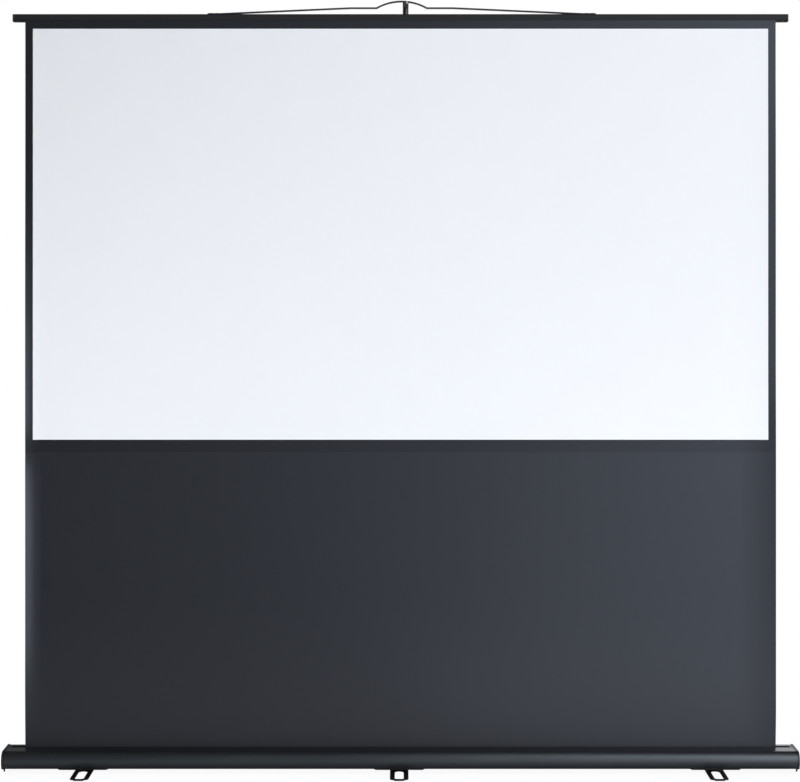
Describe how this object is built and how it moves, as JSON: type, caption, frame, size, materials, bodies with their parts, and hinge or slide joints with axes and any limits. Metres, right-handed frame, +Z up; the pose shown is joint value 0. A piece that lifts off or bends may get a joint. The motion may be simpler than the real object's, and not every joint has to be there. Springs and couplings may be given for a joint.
{
  "type": "pull-up projection screen",
  "caption": "Floor-standing pull-up projection screen: white sheet with black border and black drop rises from a low slotted case and hangs by its handle on a telescopic rear pole.",
  "frame": {"origin": "on the floor, under the middle of the base case", "axes": "+Z up, +X along the case to the viewer's right, -Y the way the white surface faces"},
  "size_m": [1.9, 0.182, 1.8504],
  "materials": {
    "case_black": "satin black coating on extruded aluminium",
    "bar_black": "satin black coating on extruded aluminium",
    "plastic_black": "fine-grained moulded plastic",
    "foot_black": "black powder coat on steel",
    "strap_black": "black coating on spring steel",
    "pole_black": "satin black anodised tube",
    "screen_white": "matt white projection coating",
    "mask_black": "matt black coated sheet",
    "drop_black": "matt black coated sheet",
    "steel": "zinc-plated steel",
    "spring_steel": "oiled spring wire",
    "screw_black": "blackened steel screws",
    "nylon": "natural nylon",
    "rubber": "matt rubber"
  },
  "bodies": {
    "base": {"case_extrusion": "case_black", "case_end_cap_left": "plastic_black", "case_end_cap_right": "plastic_black", "end_cap_screws": "screw_black", "roller_bracket_left": "steel", "roller_bracket_right": "steel", "spring_shaft": "steel", "torsion_spring": "spring_steel", "pole_socket": "plastic_black", "pole_socket_screws": "screw_black", "pole_lower_tube": "pole_black", "pole_lower_clamp_collar": "plastic_black", "pole_lower_clamp_pin": "steel", "foot_plate_left": "foot_black", "foot_plate_centre": "foot_black", "foot_plate_right": "foot_black", "foot_plate_screws": "screw_black", "foot_pivot_pins": "steel", "white_viewing_surface": "screen_white", "masked_sheet": "mask_black", "drop_sheet": "drop_black"},
    "roller": {"roller_tube": "steel", "fabric_wraps": "drop_black", "spring_plug": "nylon", "spring_anchor": "nylon", "idle_plug": "nylon"},
    "top_bar": {"top_bar_extrusion": "bar_black", "top_bar_cap_left": "plastic_black", "top_bar_cap_right": "plastic_black", "fabric_clamp_strip": "plastic_black", "handle_strap": "strap_black", "handle_rivets": "screw_black"},
    "pole_middle": {"pole_middle_tube": "pole_black", "pole_middle_bush": "nylon", "pole_upper_clamp_collar": "plastic_black", "pole_upper_clamp_pin": "steel"},
    "pole_upper": {"pole_upper_tube": "pole_black", "pole_upper_bush": "nylon", "pole_hook": "plastic_black"},
    "lower_lever": {"pole_lower_clamp_lever": "plastic_black"},
    "upper_lever": {"pole_upper_clamp_lever": "plastic_black"},
    "foot_left": {"foot_left": "foot_black", "foot_pads_left": "rubber"},
    "foot_centre": {"foot_centre": "foot_black", "foot_pads_centre": "rubber"},
    "foot_right": {"foot_right": "foot_black", "foot_pads_right": "rubber"}
  },
  "joints": [
    {"name": "screen_lift", "type": "slide", "parent": "base", "child": "top_bar", "axis": [0, 0, 1], "range_m": [-1.745, 0], "deforming": ["white_viewing_surface", "masked_sheet", "drop_sheet"]},
    {"name": "pole_middle_slide", "type": "slide", "parent": "base", "child": "pole_middle", "axis": [0, 0, 1], "range_m": [-0.535, 0]},
    {"name": "pole_upper_slide", "type": "slide", "parent": "pole_middle", "child": "pole_upper", "axis": [0, 0, 1], "range_m": [-0.535, 0]},
    {"name": "roller_spin", "type": "hinge", "parent": "base", "child": "roller", "pos_m": [0, 0.0074, 0.033], "axis": [1, 0, 0], "range_deg": [-7460, 0]},
    {"name": "lower_lever_turn", "type": "hinge", "parent": "base", "child": "lower_lever", "pos_m": [-0.0103, 0.069, 0.638], "axis": [0, 0, 1], "range_deg": [0, 100]},
    {"name": "upper_lever_turn", "type": "hinge", "parent": "pole_middle", "child": "upper_lever", "pos_m": [-0.0083, 0.069, 1.238], "axis": [0, 0, 1], "range_deg": [0, 100]},
    {"name": "foot_left_turn", "type": "hinge", "parent": "base", "child": "foot_left", "pos_m": [-0.7575, 0, 0.006], "axis": [0, 0, 1], "range_deg": [0, 90]},
    {"name": "foot_centre_turn", "type": "hinge", "parent": "base", "child": "foot_centre", "pos_m": [-0.003, 0, 0.006], "axis": [0, 0, 1], "range_deg": [0, 90]},
    {"name": "foot_right_turn", "type": "hinge", "parent": "base", "child": "foot_right", "pos_m": [0.7515, 0, 0.006], "axis": [0, 0, 1], "range_deg": [0, 90]}
  ],
  "couplings": [
    {"joint": "pole_middle_slide", "follows": "screen_lift", "ratio": 0.30659},
    {"joint": "pole_upper_slide", "follows": "screen_lift", "ratio": 0.30659},
    {"joint": "roller_spin", "follows": "screen_lift", "rad_per_m": 74.56}
  ]
}
